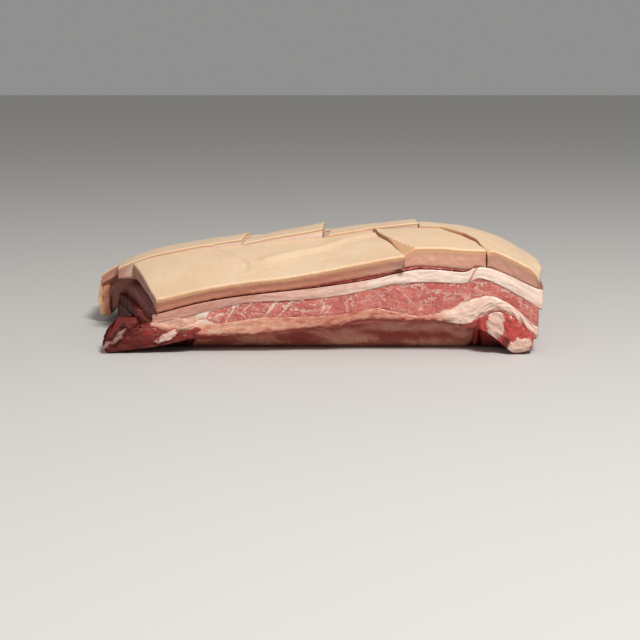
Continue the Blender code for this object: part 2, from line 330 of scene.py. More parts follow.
def group(name, inputs, outputs):
    """An empty group: its tree, the sockets that come in and those that go out."""
    kinds = {"v": "NodeSocketVector", "f": "NodeSocketFloat", "c": "NodeSocketColor"}
    tree = bpy.data.node_groups.new(name, "ShaderNodeTree")
    for label, kind, value in inputs:
        socket = tree.interface.new_socket(label, in_out="INPUT", socket_type=kinds[kind])
        if value is not None:
            socket.default_value = value
    for label, kind in outputs:
        tree.interface.new_socket(label, in_out="OUTPUT", socket_type=kinds[kind])
    come = tree.nodes.new("NodeGroupInput")
    go = tree.nodes.new("NodeGroupOutput")
    return tree, come.outputs, go.inputs


def use(tree, shared, **inputs):
    """Place a shared group; its inputs are named with _ for a space."""
    made = tree.nodes.new("ShaderNodeGroup")
    made.node_tree = shared
    made.location = (200 * len(tree.nodes), -300)
    for key, value in inputs.items():
        feed(tree, made.inputs[key.replace("_", " ")], value)
    return made.outputs


# %% Shared effects
drift, come, go = group("drift", [("Place", "v", None), ("Width", "f", 20.0), ("Detail", "f", 3.0)],
                        [("Value", "f")])
scaled = calc(drift, "DIVIDE", 1.0, come["Width"])
cloudy = add(drift, "TexNoise", {"Vector": come["Place"], "Scale": scaled, "Detail": come["Detail"]})
drift.links.new(ramp(drift, cloudy.outputs[0], 0.32, 0.68), go["Value"])

strands, come, go = group("strands", [("Place", "v", None), ("Width", "f", 1.0), ("Length", "f", 8.0)],
                          [("Value", "f")])
squeeze = add(strands, "CombineXYZ", {0: calc(strands, "DIVIDE", 1.0, come["Length"]),
                                      1: calc(strands, "DIVIDE", 1.0, come["Width"]),
                                      2: calc(strands, "DIVIDE", 1.0, come["Width"])})
drawn = add(strands, "VectorMath", {0: come["Place"], 1: squeeze.outputs[0]}, operation="MULTIPLY")
threads = add(strands, "TexNoise", {"Vector": drawn.outputs[0], "Scale": 1.0, "Detail": 3.0,
                                    "Roughness": 0.6})
strands.links.new(threads.outputs[0], go["Value"])

bent_place, come, go = group("bent place", [("Place", "v", None), ("Width", "f", 6.0),
                                            ("Push", "f", 4.0)], [("Place", "v")])
swirl = add(bent_place, "TexNoise", {"Vector": come["Place"], "Detail": 3.0,
                                     "Scale": calc(bent_place, "DIVIDE", 1.0, come["Width"])})
offset = add(bent_place, "VectorMath", {0: swirl.outputs["Color"], 1: (0.5, 0.5, 0.5)},
             operation="SUBTRACT")
pushed = add(bent_place, "VectorMath", {0: offset.outputs[0], "Scale": come["Push"]}, operation="SCALE")
bent = add(bent_place, "VectorMath", {0: come["Place"], 1: pushed.outputs[0]}, operation="ADD")
bent_place.links.new(bent.outputs[0], go["Place"])

marbling, come, go = group("marbling", [("Place", "v", None), ("Cell", "f", 9.0), ("Thread", "f", 0.4),
                                        ("Veins", "f", 0.7), ("Flecks", "f", 0.6)],
                           [("Fat", "f")])
bent = use(marbling, bent_place, Place=come["Place"], Width=7.0, Push=6.0)["Place"]
flat = add(marbling, "VectorMath", {0: bent, 1: (0.42, 1.0, 1.0)}, operation="MULTIPLY")
cells = add(marbling, "TexVoronoi", {"Vector": flat.outputs[0],
                                     "Scale": calc(marbling, "DIVIDE", 1.0, come["Cell"])},
            feature="DISTANCE_TO_EDGE")
patchy = use(marbling, drift, Place=come["Place"], Width=8.0)["Value"]
crossed = calc(marbling, "MULTIPLY", patchy, patchy)
width = calc(marbling, "DIVIDE", calc(marbling, "MULTIPLY", come["Thread"], crossed), come["Cell"])
near = calc(marbling, "DIVIDE", cells.outputs["Distance"], calc(marbling, "ADD", width, 0.002))
net = calc(marbling, "MULTIPLY", ramp(marbling, near, 1.6, 0.4), come["Veins"])
dashes = use(marbling, strands, Place=bent, Width=0.85, Length=1.5)["Value"]
crowd = use(marbling, drift, Place=come["Place"], Width=6.0, Detail=2.0)["Value"]
least = add(marbling, "Mix", {0: crowd, 2: 0.64, 3: 0.51}).outputs[0]
dash = ramp(marbling, calc(marbling, "SUBTRACT", dashes, least), 0.0, 0.06)
marbling.links.new(calc(marbling, "MAXIMUM", net, calc(marbling, "MULTIPLY", dash, come["Flecks"])),
                   go["Fat"])

bundles, come, go = group("bundles", [("Place", "v", None), ("Width", "f", 1.8)],
                          [("Tone", "f"), ("Crease", "f")])
bent = use(bundles, bent_place, Place=come["Place"], Width=3.0, Push=1.6)["Place"]
flat = add(bundles, "VectorMath", {0: bent, 1: (0.62, 1.0, 1.0)}, operation="MULTIPLY")
size = calc(bundles, "DIVIDE", 1.0, come["Width"])
tones = add(bundles, "TexVoronoi", {"Vector": flat.outputs[0], "Scale": size})
edges = add(bundles, "TexVoronoi", {"Vector": flat.outputs[0], "Scale": size},
            feature="DISTANCE_TO_EDGE")
parts = add(bundles, "SeparateXYZ", {0: tones.outputs["Color"]})
bundles.links.new(parts.outputs[0], go["Tone"])
bundles.links.new(ramp(bundles, edges.outputs["Distance"], 0.16, 0.0), go["Crease"])

wet_film, come, go = group("wet film", [("Place", "v", None), ("Grain", "f", 1.2), ("Wet", "f", 0.18),
                                        ("Dry", "f", 0.45)],
                           [("Roughness", "f"), ("Height", "f")])
fine = add(wet_film, "TexNoise", {"Vector": come["Place"], "Detail": 3.0, "Roughness": 0.55,
                                  "Scale": calc(wet_film, "DIVIDE", 1.0, come["Grain"])})
pools = use(wet_film, drift, Place=come["Place"], Width=6.0)["Value"]
wet_film.links.new(add(wet_film, "Mix", {0: pools, 2: come["Wet"], 3: come["Dry"]}).outputs[0],
                   go["Roughness"])
wet_film.links.new(fine.outputs[0], go["Height"])
print("shared effects:", ", ".join(g.name for g in bpy.data.node_groups))


# %% A finish
def finish(tree, colour, rough, height, relief, **constants):
    """Join colour, roughness and height to the shader; relief is in millimetres."""
    shader = tree.nodes["Principled BSDF"]
    shader.location = (200 * len(tree.nodes), 300)
    tree.nodes["Material Output"].location = (200 * len(tree.nodes) + 300, 300)
    raised = add(tree, "Bump", {"Height": height, "Distance": relief * MM, "Strength": 1.0})
    given = {"Base_Color": colour, "Roughness": rough, "Normal": raised.outputs[0], **SOFT}
    for key, value in {**given, **constants}.items():
        feed(tree, shader.inputs[key.replace("_", " ")], value)


def shine(tree, blood, film, wet):
    """Roughness and coat of a wet face; where it is blood red or painted as shaded, it shines less."""
    rough = calc(tree, "ADD", film["Roughness"], calc(tree, "MULTIPLY", blood, 0.4))
    return rough, ramp(tree, blood, 0.25, 0.85, wet, 0.0)


def blank(name):
    """A new material, its node tree and its place in the layer, in millimetres."""
    made = bpy.data.materials.new(name)
    made.use_nodes = True
    return made, made.node_tree, fact(made.node_tree, "flow", "Vector")


SOFT = dict(Subsurface_Weight=0.2, Subsurface_Radius=(1.0, 0.4, 0.25), Subsurface_Scale=2.0 * MM,
            Coat_Roughness=0.1)

# %% [markdown]
# ## The finishes
# The lean is a deep rose red with pale threads; it is wet, so it shines in many
# small points.  The white fat is almost white with a warm cast.  The lower fat is
# pinker, because thin flesh shines through it.  Rind is dry, smooth and tan, and
# where a knife has cut it, its edge is darker and lets light through.

# %% Lean
WHITE = (0.90, 0.76, 0.66)
PALE = (0.80, 0.52, 0.42)


def lean_finish(name, deep, rose, pale, veins, flecks, wet=0.4):
    made, tree, place = blank(name)
    slow = use(tree, drift, Place=place, Width=13.0)["Value"]
    bunch = use(tree, bundles, Place=place, Width=1.9)
    red = mixed(tree, slow, deep, rose)
    red = mixed(tree, ramp(tree, bunch["Tone"], 0.55, 1.0, 0.0, 0.45), red, pale)
    red = mixed(tree, calc(tree, "MULTIPLY", bunch["Crease"], 0.22), red, pale)
    marbled = use(tree, marbling, Place=place, Cell=9.0, Thread=0.45, Veins=veins, Flecks=flecks)["Fat"]
    ragged = add(tree, "TexNoise", {"Vector": place, "Scale": 0.55, "Detail": 4.0, "Roughness": 0.6})
    edge = calc(tree, "ADD", fact(tree, "fat"),
                calc(tree, "MULTIPLY", calc(tree, "SUBTRACT", ragged.outputs[0], 0.5), 2.6))
    cover = calc(tree, "MAXIMUM", ramp(tree, edge, -0.35, 0.45), marbled)
    tallow = mixed(tree, fact(tree, "up"), PALE, WHITE)
    colour = mixed(tree, cover, red, tallow)
    # dark is the colour of blood and also of painted shade, laid on by blood.
    dark = tuple(c * 0.3 for c in deep)
    blood = fact(tree, "blood")
    colour = mixed(tree, blood, colour, dark)
    film = use(tree, wet_film, Place=place, Grain=0.9, Wet=0.16, Dry=0.36)
    rough, coat = shine(tree, blood, film, wet)
    relief = calc(tree, "ADD", calc(tree, "MULTIPLY", film["Height"], 0.8),
                  calc(tree, "SUBTRACT", calc(tree, "MULTIPLY", cover, 0.5),
                       calc(tree, "MULTIPLY", bunch["Crease"], 0.22)))
    finish(tree, colour, rough, relief, 0.4, IOR=1.38, Coat_Weight=coat)
    return made


streaky = lean_finish("streaky lean", (0.49, 0.088, 0.074), (0.62, 0.165, 0.13), (0.74, 0.31, 0.25),
                      0.4, 0.75)
# The dark lean is much darker than the streaky lean partly as painted shade, for the shaded left end and
# its trimmings.
dark_lean = lean_finish("dark lean", (0.20, 0.010, 0.008), (0.38, 0.028, 0.018), (0.46, 0.07, 0.042),
                        0.1, 0.1, 0.2)
tail_lean = lean_finish("tail lean", (0.42, 0.034, 0.03), (0.52, 0.06, 0.05), (0.60, 0.12, 0.10),
                        0.1, 0.1, 0.3)
seam_lean = lean_finish("dark muscle", (0.30, 0.026, 0.022), (0.48, 0.065, 0.052), (0.56, 0.14, 0.11),
                        0.1, 0.05)


# %% Fat
def fat_finish(name, light, warm, blush, stains, relief, grain_length=10.0):
    made, tree, place = blank(name)
    slow = use(tree, drift, Place=place, Width=9.0)["Value"]
    grain = use(tree, strands, Place=place, Width=1.0, Length=grain_length)["Value"]
    colour = mixed(tree, slow, light, warm)
    stain = use(tree, drift, Place=place, Width=4.5, Detail=5.0)["Value"]
    colour = mixed(tree, calc(tree, "MULTIPLY", stain, stains), colour, blush)
    colour = mixed(tree, ramp(tree, grain, 0.45, 0.30, 0.0, 0.5), colour, blush)
    colour = mixed(tree, fact(tree, "pale"), colour, WHITE)
    # blush reddens and darkens the fat: partly its own flush, partly painted shade; blood darkens it to
    # blood red or painted shade.
    colour = mixed(tree, fact(tree, "blush"), colour, tuple(c * 0.8 for c in blush))
    blood = fact(tree, "blood")
    colour = mixed(tree, blood, colour, (0.20, 0.018, 0.016))
    film = use(tree, wet_film, Place=place, Grain=1.5, Wet=0.18, Dry=0.40)
    rough, coat = shine(tree, blood, film, 0.4)
    height = calc(tree, "ADD", calc(tree, "MULTIPLY", film["Height"], 0.6),
                  calc(tree, "MULTIPLY", grain, 0.7))
    finish(tree, colour, rough, height, relief, IOR=1.40, Coat_Weight=coat)
    return made


white_fat = fat_finish("white fat", (0.86, 0.70, 0.60), (0.82, 0.58, 0.47), (0.70, 0.32, 0.24), 0.2, 0.4)
pink_fat = fat_finish("pink fat", (0.80, 0.52, 0.37), (0.74, 0.38, 0.25), (0.56, 0.14, 0.09), 0.45, 0.5,
                      grain_length=7.0)


# %% Rind and its cut fat
def rind_finish(name):
    made, tree, place = blank(name)
    below, pale = fact(tree, "below"), fact(tree, "pale")
    slow = use(tree, drift, Place=place, Width=30.0)["Value"]
    small = use(tree, drift, Place=place, Width=4.0, Detail=5.0)["Value"]
    skin = mixed(tree, slow, (0.82, 0.60, 0.40), (0.79, 0.55, 0.345))
    skin = mixed(tree, calc(tree, "MULTIPLY", small, 0.22), skin, (0.84, 0.68, 0.50))
    dots = add(tree, "TexVoronoi", {"Vector": place, "Scale": 0.42, "Randomness": 1.0})
    few = use(tree, drift, Place=place, Width=15.0)["Value"]
    speck = calc(tree, "MULTIPLY", ramp(tree, dots.outputs["Distance"], 0.16, 0.07),
                 ramp(tree, few, 0.78, 0.95))
    skin = mixed(tree, calc(tree, "MULTIPLY", speck, 0.75), skin, (0.40, 0.16, 0.06))
    bent = use(tree, bent_place, Place=place, Width=18.0, Push=6.0)["Place"]
    line = use(tree, strands, Place=bent, Width=1.4, Length=26.0)["Value"]
    skin = mixed(tree, ramp(tree, line, 0.40, 0.28, 0.0, 0.3), skin, (0.70, 0.43, 0.25))
    flesh = mixed(tree, slow, (0.60, 0.33, 0.235), (0.56, 0.29, 0.205))
    flesh = mixed(tree, calc(tree, "MULTIPLY", small, 0.35), flesh, (0.54, 0.22, 0.15))
    flesh = mixed(tree, pale, flesh, (0.88, 0.72, 0.60))
    # blush and blood darken the cut fat: partly its own flush and blood, partly painted shade.
    flesh = mixed(tree, fact(tree, "blush"), flesh, (0.56, 0.17, 0.095))
    flesh = mixed(tree, fact(tree, "blood"), flesh, (0.16, 0.018, 0.016))
    wander = calc(tree, "ADD", below, calc(tree, "MULTIPLY", small, 0.5))
    cut = ramp(tree, wander, 1.6, 3.4)
    tint = calc(tree, "MULTIPLY", ramp(tree, wander, 0.5, 1.5), ramp(tree, wander, 4.2, 2.0))
    colour = mixed(tree, cut, skin, flesh)
    tint = calc(tree, "MULTIPLY", tint, ramp(tree, pale, 0.0, 1.0, 0.75, 0.4))
    colour = mixed(tree, tint, colour, (0.70, 0.36, 0.17))
    pores = add(tree, "TexNoise", {"Vector": place, "Scale": 1.3, "Detail": 3.0, "Roughness": 0.6})
    height = calc(tree, "ADD", calc(tree, "MULTIPLY", pores.outputs[0], 0.6),
                  calc(tree, "ADD", calc(tree, "MULTIPLY", small, 0.5),
                       calc(tree, "MULTIPLY", line, 0.4)))
    rough = add(tree, "Mix", {0: cut, 2: 0.47, 3: 0.33}).outputs[0]
    finish(tree, colour, rough, height, 0.24, IOR=1.45)
    return made


rind = rind_finish("rind")
print("finishes:", ", ".join(m.name for m in bpy.data.materials if m.use_nodes))

# %% [markdown]
# ## Layers that run through the slab
# Each layer is a wall that follows its solid's side faces, closed above and below.
# The wall is full in the middle and rounded at its edges, so that a crease shows
# between two layers, and each edge laps a little into its neighbour.

# %% A layer
from types import SimpleNamespace

HIDDEN = [(1.0, True), (4.0, True), (0.3, True), (0.5, False), (0.7, True)]
SMOOTH = 5                      # places over which a measured height is averaged
MEASURE_IN = 2.2                # heights are measured this far inside a side face
FACE_IN = 0.5                   # and the made face lies this far inside it
REACH_ON, SINK = 3.0, 0.9       # how a wall runs on into a neighbour and under its face


def hidden_facts(place, high):
    """Faces between two layers: what shows of them in a crack is dark flesh with painted shade."""
    return {"flow": np.column_stack([place, high]), "fat": 0 * high - 3, "blush": 0 * high + 0.8,
            "blood": 0 * high + 0.6}


def layer(name, node, look, slot, shape, row_height=0.55, lap=0.8, edge=0.3, meet=(),
          pull_left=0.0, fill_up=None, under=None, under_steps=HIDDEN, under_facts=hidden_facts, **spacing):
    """A closed layer.  shape(at) gives the relief and the facts of a ring of its wall.

    meet lists where it runs on into a neighbour: (length, side, depth from, depth to).
    There it reaches a little further and sinks away under the neighbour's face.
    fill_up names a layer above and the length from which this one rises to touch it.
    """
    def surface(place):
        high = heights(height_over, node, place)
        if fill_up:
            room = heights(height_under, fill_up[0], place) - high
            high = high + np.maximum(room, 0) * step(place[:, 0], fill_up[1] - 1, fill_up[1] + 1)
        return high

    line = side_line(node, **spacing)
    out = outward(line)
    inner = line - out * MEASURE_IN
    sunk = 0 * line[:, 0]
    for where, side, near, far in meet:
        there = (line[:, 1] > near) & (line[:, 1] < far)
        line[:, 0] += REACH_ON * side * step((line[:, 0] - where) * side, -6.0, -0.5) * there
        sunk = sunk + SINK * step((line[:, 0] - where) * side, -2.5, 2.5) * there
    line[:, 0] += pull_left * step(-out[:, 0], 0.3, 0.9)
    top = soften(surface(inner), SMOOTH) + lap
    foot = soften(heights(height_under, node, inner), SMOOTH) - lap
    foot = np.maximum(foot, 0.0)
    top = np.maximum(top, foot + 0.6)
    thick = top - foot
    run = run_along(line)
    count = max(4, round(float(thick.max()) / row_height))
    shell, rings, plans = Shell(), [], []
    for share in np.linspace(0, 1, count + 1):
        at = SimpleNamespace(x=line[:, 0], out=out, run=run, thick=thick, high=share * thick,
                             up=np.full(len(line), share), z=foot + share * thick)
        from_edge = np.clip(np.minimum(at.high, thick - at.high) / (edge * 1.6), 0, 1)
        rounding = edge * (np.sqrt(1 - (1 - from_edge) ** 2) - 1)
        relief, facts = shape(at)
        plans.append(line + out * (rounding - FACE_IN + relief - sunk)[:, None])
        facts["flow"] = columns(run, at.high)
        facts.setdefault("up", at.up)
        rings.append(shell.ring(np.column_stack([plans[-1], at.z]), **facts))
    shell.wall(rings)
    low, high = line[:, 0].min(), line[:, 0].max()
    reach = min(60.0, (high - low) * 0.4)
    heart = np.column_stack([np.clip(line[:, 0], low + reach, high - reach),
                             np.full(len(line), (line[:, 1].min() + line[:, 1].max()) / 2)])
    shell.close(rings[-1], plans[-1], heart, surface, HIDDEN, hidden_facts)
    shell.close(rings[0], plans[0], heart, under or (lambda p: heights(height_under, node, p)),
                under_steps, under_facts)
    made = shell.piece(name, look, slot)
    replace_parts(made, node)
    return made


def wavy(at, size, amount, seed, octaves=2):
    """Relief that follows the layer."""
    return amount * cloud(columns(at.run, at.high), size, octaves, seed)


def billow(at, size, amount, seed):
    """Rounded swellings with sharp valleys between them."""
    return amount * 0.5 - 1.8 * np.abs(wavy(at, size, amount, seed))


def facing(at, x, y):
    """1 where a side face looks in this direction."""
    return step(at.out @ np.array([x, y]), 0.55, 0.9)


# %% The streaky lean
# Pale seams part the front of the lean into lobes: (length, share of the height) of
# both ends, and half the width in millimetres.
SEAMS = [((-68, 0.52), (-56, 0.64), 0.5), ((-59, -0.1), (-52, 1.05), 0.6), ((-51, 0.5), (-40, 0.3), 0.4),
         ((-47, 0.5), (-40.5, 1.05), 0.5), ((-37, -0.1), (-25, 1.05), 0.8), ((-26, 0.1), (-15, 1.05), 0.5),
         ((-19, 0.4), (5, 0.5), 0.4), ((-14, 0.75), (-4, 1.05), 0.45), ((2, 0.1), (8, 0.6), 0.4)]


def lobes(at):
    """Millimetres into the fat (above 0) or into the lean (below 0) on the front face."""
    into = np.full(len(at.run), -9.0)
    front = facing(at, 0, -1)
    sway = wavy(at, (7, 6, 1), 2.4, 27.0)
    for (x1, up1), (x2, up2), half in SEAMS:
        low, high = up1 * at.thick, up2 * at.thick
        way_x, way_z = x2 - x1, high - low
        dx, dz = at.x + sway - x1, at.high + sway - low
        t = np.clip((dx * way_x + dz * way_z) / (way_x ** 2 + way_z ** 2), 0, 1)
        gap = np.hypot(dx - t * way_x, dz - t * way_z)
        wide = half * (0.7 + 1.8 * t ** 3 * (up2 > 1))          # it opens towards the band
        white = np.minimum(0.7 * (wide - gap), 0.1 + 0.3 * t)
        into = np.maximum(into, white * front - 9.0 * (1 - front))
    return into


def ragged(at, least, swing, size, seed):
    """How far fat reaches into a layer of lean from above and below."""
    return least + swing * cloud(columns(at.run, 40 * at.up), (size, 30, 1), 2, seed)


def grainy(at, swell, seed):
    """Relief of cut lean."""
    return swell * bump(at.up) + wavy(at, (8, 5, 1), 0.4, seed) + wavy(at, (2.2, 1.5, 1), 0.22, seed + 1)


def lean_shape(at):
    front = facing(at, 0, -1)
    left_end = 4.5 * step(at.x, -58, -76) * front        # the lean starts as a small lobe
    right_end = 2.2 * front * step(at.x, 68, 90) * step(at.up, 0.5, 0.1)
    fat = ragged(at, 0.4, 1.9, 5, 3.0) + left_end - np.minimum(at.high, at.thick - at.high)
    fat = np.maximum(fat, lobes(at)) + right_end
    valley = step(fat, -1.4, 0.3) * (1 - step(fat, 0.3, 2.0))
    # Left-facing faces turn dark red: painted shade on the shaded left end.
    return grainy(at, 0.25, 1.0) - 0.35 * valley, {"fat": fat, "blood": 0.85 * facing(at, -1, 0)}


layer("streaky_lean_wall", "streaky_lean", streaky, "streaky_lean", lean_shape, corner=0.8,
      meet=[(92.3, 1, -90, 90), (-76.7, -1, -90, -40), (-97.6, -1, -40, 90)])


def end_lean_shape(at):
    fat = ragged(at, 0.1, 0.9, 8, 4.0) - np.minimum(at.high, at.thick - at.high)
    return grainy(at, 0.3, 1.5), {"fat": fat}


layer("right_end_lean_wall", "right_end_lean", streaky, "streaky_lean", end_lean_shape, corner=0.8,
      meet=[(92.3, -1, -90, 90)])


# %% The white band and the dark muscle
def band_shape(at):
    relief = 0.35 * bump(at.up) + wavy(at, (12, 3, 1), 0.45, 5.0) + wavy(at, (3.5, 1.5, 1), 0.16, 5.5)
    left = facing(at, -1, 0)
    front_left = facing(at, 0, -1) * step(at.x, 60, -75)
    # Left-facing faces are darkened: painted shade on the shaded left end.
    blush = step(wavy(at, (14, 3, 1), 1.0, 6.0), 0.1, 0.7) * 0.3 + 0.5 * left + 0.85 * front_left
    nick = facing(at, 0, -1) * np.exp(-((at.x - 91 - 4.5 * at.up) / 0.7) ** 2)     # the cut goes on
    return relief - 0.8 * nick, {"blush": np.clip(blush + 0.7 * nick, 0, 1),
                                 "blood": 0.85 * left + 0.3 * nick,
                                 "pale": 0.5 * step(at.x, 20, 60) * facing(at, 0, -1)}


def seam_shape(at):
    relief = wavy(at, (3, 2, 1), 0.7, 7.0) - 0.3 + 2.1 * facing(at, 0, -1)
    # Left-facing faces are darkened: painted shade on the shaded left end.
    return relief, {"fat": 0 * at.run - 3, "blood": 0.9 * facing(at, -1, 0)}


layer("upper_fat_band_wall", "upper_fat_band", white_fat, "white_fat", band_shape, lap=0.3,
      pull_left=4.5, fill_up=("scored_rind_cap", 92.0))
layer("thin_muscle_seam_wall", "thin_muscle_seam", seam_lean, "dark_muscle", seam_shape, 0.4,
      lap=0.2, pull_left=4.5)


# %% The lower fat
def soft_facts(at):
    front = facing(at, 0, -1)
    blush = 0.15 + step(wavy(at, (9, 3, 1), 1.0, 10.0), 0.05, 0.6) * 0.5
    blush = blush + 0.35 * step(at.x, -25, 0) * (1 - step(at.x, 60, 75))
    right = step(at.x, 68, 84) * (front + facing(at, 1, 0))
    # The lower fat darkens towards its ragged bottom edge: painted contact shade.
    torn = at.high + wavy(at, (5, 2, 1), 1.3, 10.5)
    edge = step(torn, 2.6, 0.6) * (1 - step(at.x, 74, 84))
    return {"blush": blush * (1 - 0.8 * right), "pale": np.clip(0.6 * right, 0, 1),
            "blood": np.clip(edge, 0, 0.9)}


def soft_shape(at):
    right = step(at.x, 70, 84) * facing(at, 0, -1)
    relief = 0.4 * bump(at.up) + wavy(at, (11, 4, 1), 0.55, 8.0) + wavy(at, (3, 1.6, 1), 0.2, 9.0)
    relief = relief + right * (0.7 * bump(at.up) + billow(at, (8, 5, 1), 0.8, 9.5))
    return relief, soft_facts(at)


def underside(place):
    """The underside of the lower fat: uneven behind the lip and flat where it rests."""
    high = heights(height_under, "lower_fat", place)
    flat = np.column_stack([place, 0 * high])
    uneven = 1.6 * cloud(flat, (16, 7, 1), 2, 21.0) + 0.7 * cloud(flat, (5, 3, 1), 2, 22.0)
    return np.maximum(high + uneven * step(high, 0.5, 4.0), 0.0)


def underside_facts(place, high):
    solid = np.column_stack([place, high])
    red = step(cloud(solid, (26, 7, 5), 3, 23.0), -0.25, 0.25)
    recess_shade = step(high, 3.0, 9.0)                # painted shade: darker red just behind the lip, in the recess under it
    return {"flow": solid, "blush": 0.3 + 0.45 * red + 0.25 * recess_shade,
            "blood": np.clip(0.05 + 0.45 * red + 0.3 * recess_shade, 0, 0.9)}


UNDER = [(1.0, False), (2.2, True), *((reach, False) for reach in np.arange(3.5, 14.1, 1.5)), (16.0, False),
         (18.0, False), (20.0, False), (22.5, False), (26.0, True), (0.3, True), (0.5, False), (0.7, True)]
layer("lower_fat_wall", "lower_fat", pink_fat, "pink_fat", soft_shape, corner=0.8,
      meet=[(-76.7, -1, -90, -40), (-97.6, -1, -40, 90)],
      under=underside, under_steps=UNDER, under_facts=underside_facts)


# %% The left end
def oval(at, x, z, wide, high, turn=0.0):
    """Millimetres into an oval on the front face."""
    turn = math.radians(turn)
    sway = wavy(at, (5, 4, 1), 1.6, 28.0)
    dx, dz = at.x + sway - x, at.z - sway - z
    along = (dx * math.cos(turn) + dz * math.sin(turn)) / wide
    over = (dz * math.cos(turn) - dx * math.sin(turn)) / high
    return (1 - np.hypot(along, over)) * min(wide, high)


def lobe_shape(at):
    relief, facts = soft_shape(at)
    left = facing(at, -1, 0)
    # Left-facing faces are darkened: painted shade on the shaded left end.
    facts["blush"] = np.clip(facts["blush"] + 0.5 * left, 0, 1)
    facts["blood"] = 0.85 * left + facts["blood"] * 0.3
    facts["pale"] = 0.2 * facing(at, 0, -1) * step(at.up, 0.2, 0.8)
    return relief, facts


def dark_shape(at):
    fat = ragged(at, -1.2, 1.4, 8, 14.0) - np.minimum(at.high, at.thick - at.high)
    relief = 0.4 * bump(at.up) + billow(at, (8, 5, 1), 1.0, 15.0) + wavy(at, (2.4, 1.7, 1), 0.25, 16.0)
    left = facing(at, -1, 0)
    # The lean is darkened a little everywhere and more on left-facing faces: partly its own colour, partly
    # painted shade on the shaded left end.
    return relief, {"fat": fat, "blood": np.clip(0.25 + 0.7 * left, 0, 1)}


# Fat in the trimmings on the front face: length, height, half sizes, turn in degrees.
TRIM_FAT = [(-123.5, 10.5, 7.5, 1.9, 44), (-132.5, 3.4, 5.0, 2.2, 52), (-93.5, 10.6, 8.0, 2.4, 24),
            (-83.0, 14.8, 6.0, 1.6, 20)]


def trim_shape(at):
    front = facing(at, 0, -1)
    into = np.max([oval(at, *patch) for patch in TRIM_FAT], axis=0)
    relief, facts = dark_shape(at)
    facts["fat"] = into * front + facts["fat"] * (1 - front)
    furrow = step(into, -2.2, -0.4) * (1 - step(into, -0.4, 0.8))
    relief = relief * 0.7 + front * (1.1 * step(into, -0.6, 1.6) - 0.7 * furrow)
    # Painted shade: the front at the far left, its lower part and the furrows round the fat are darkened.
    shade = 1.5 * step(at.x, -102, -116) * front
    lower = step(at.up, 0.5, 0.1) * front * step(at.x, -118, -108)
    blood = np.clip(facts["blood"] + 0.35 * shade + 0.3 * lower + 0.35 * front * furrow, 0, 0.95)
    facts["blood"] = np.where(into > -0.3, 0.2 + 0.3 * shade, blood)
    facts["up"] = 0.3 * step(at.x, -104, -96)
    return relief, facts


layer("left_fat_wall", "left_fat", pink_fat, "pink_fat", lobe_shape, corner=0.8,
      meet=[(-76.7, 1, -90, -40)])
layer("left_end_lean_wall", "left_end_lean", dark_lean, "dark_lean", dark_shape, lap=1.2,
      meet=[(-88.0, 1, 30, 90)])
layer("left_trim_wall", "left_trim", dark_lean, "dark_lean", trim_shape, 0.5, lap=0.8,
      meet=[(-76.7, 1, -90, -40)])


# %% The tail of lean under the right end
def tail_shape(at):
    front = facing(at, 0, -1)
    into = np.maximum(oval(at, 107, 19, 5.5, 10.0, 0), oval(at, 122, 5, 9.0, 4.2, 12))
    base = ragged(at, -0.9, 1.0, 8, 17.0) - np.minimum(at.high, at.thick - at.high)
    fat = into * front + base * (1 - front)
    relief = 0.5 * bump(at.up) + billow(at, (9, 7, 1), 1.0, 18.0) + wavy(at, (2.4, 1.7, 1), 0.2, 19.0)
    swell = 0.9 * step(into, -0.8, 1.6) + billow(at, (5, 5, 1), 0.25, 18.5) * step(into, -1, 1)
    # The dark red patch low on the front is painted shade in a recess.
    blood = 0.85 * step(oval(at, 113.5, 7.5, 3.5, 4.0), -0.5, 1.5) * front
    blood = np.maximum(blood, 0.15 * step(into, -0.5, 0.5) * front)
    return relief + front * swell, {"fat": fat, "blood": blood, "up": 0 * at.x + 0.1}


layer("tail_lean_wall", "tail_lean", tail_lean, "dark_lean", tail_shape, 0.5, lap=0.6)

# %% [markdown]
# ## Loose lumps and torn ends
# Where the slab was trimmed, small lumps of lean and fat stand out from both ends.
# Each is an uneven ball, pressed flat and sunk into the layer behind it.

# %% Lumps
def lump(name, look, slot, x, z, wide, high, y=-79.0, deep=4.0, turn=0.0, seed=1.0, fat=-5.0,
         uneven=0.2, **facts):
    """An uneven ball that is turned on the front face; wide, high and deep are half sizes."""
    work = bmesh.new()
    bmesh.ops.create_icosphere(work, subdivisions=4, radius=1.0)
    ball = np.array([vertex.co for vertex in work.verts])
    swell = 1 + uneven * cloud(ball, 0.8, 2, seed) + 0.35 * uneven * cloud(ball, 0.25, 2, seed + 1)
    local = ball * swell[:, None] * np.array([wide, deep, high])
    turn = math.radians(turn)
    place = np.column_stack([local[:, 0] * math.cos(turn) - local[:, 2] * math.sin(turn), local[:, 1],
                             local[:, 0] * math.sin(turn) + local[:, 2] * math.cos(turn)])
    place = place + [x, y, z]
    place[:, 2] = np.maximum(place[:, 2], 0.05)
    for vertex, co in zip(work.verts, place):
        vertex.co = Vector(co) * MM
    mesh = bpy.data.meshes.new(name)
    work.to_mesh(mesh)
    work.free()
    told = {"fat": np.full(len(ball), fat) + 2.0 * cloud(local, 5.0, 2, seed + 2),
            "up": np.full(len(ball), 0.6), **{k: np.full(len(ball), v) for k, v in facts.items()}}
    for key, values in told.items():
        mesh.attributes.new(key, "FLOAT", "POINT").data.foreach_set("value", values.astype(np.float32))
    flow = mesh.attributes.new("flow", "FLOAT_VECTOR", "POINT")
    flow.data.foreach_set("vector", (local[:, [0, 2, 1]] + 40 * seed).astype(np.float32).ravel())
    return finished(mesh, name, look, 180.0)


LEAN, FAT = (dark_lean, "dark_lean"), (pink_fat, "pink_fat")
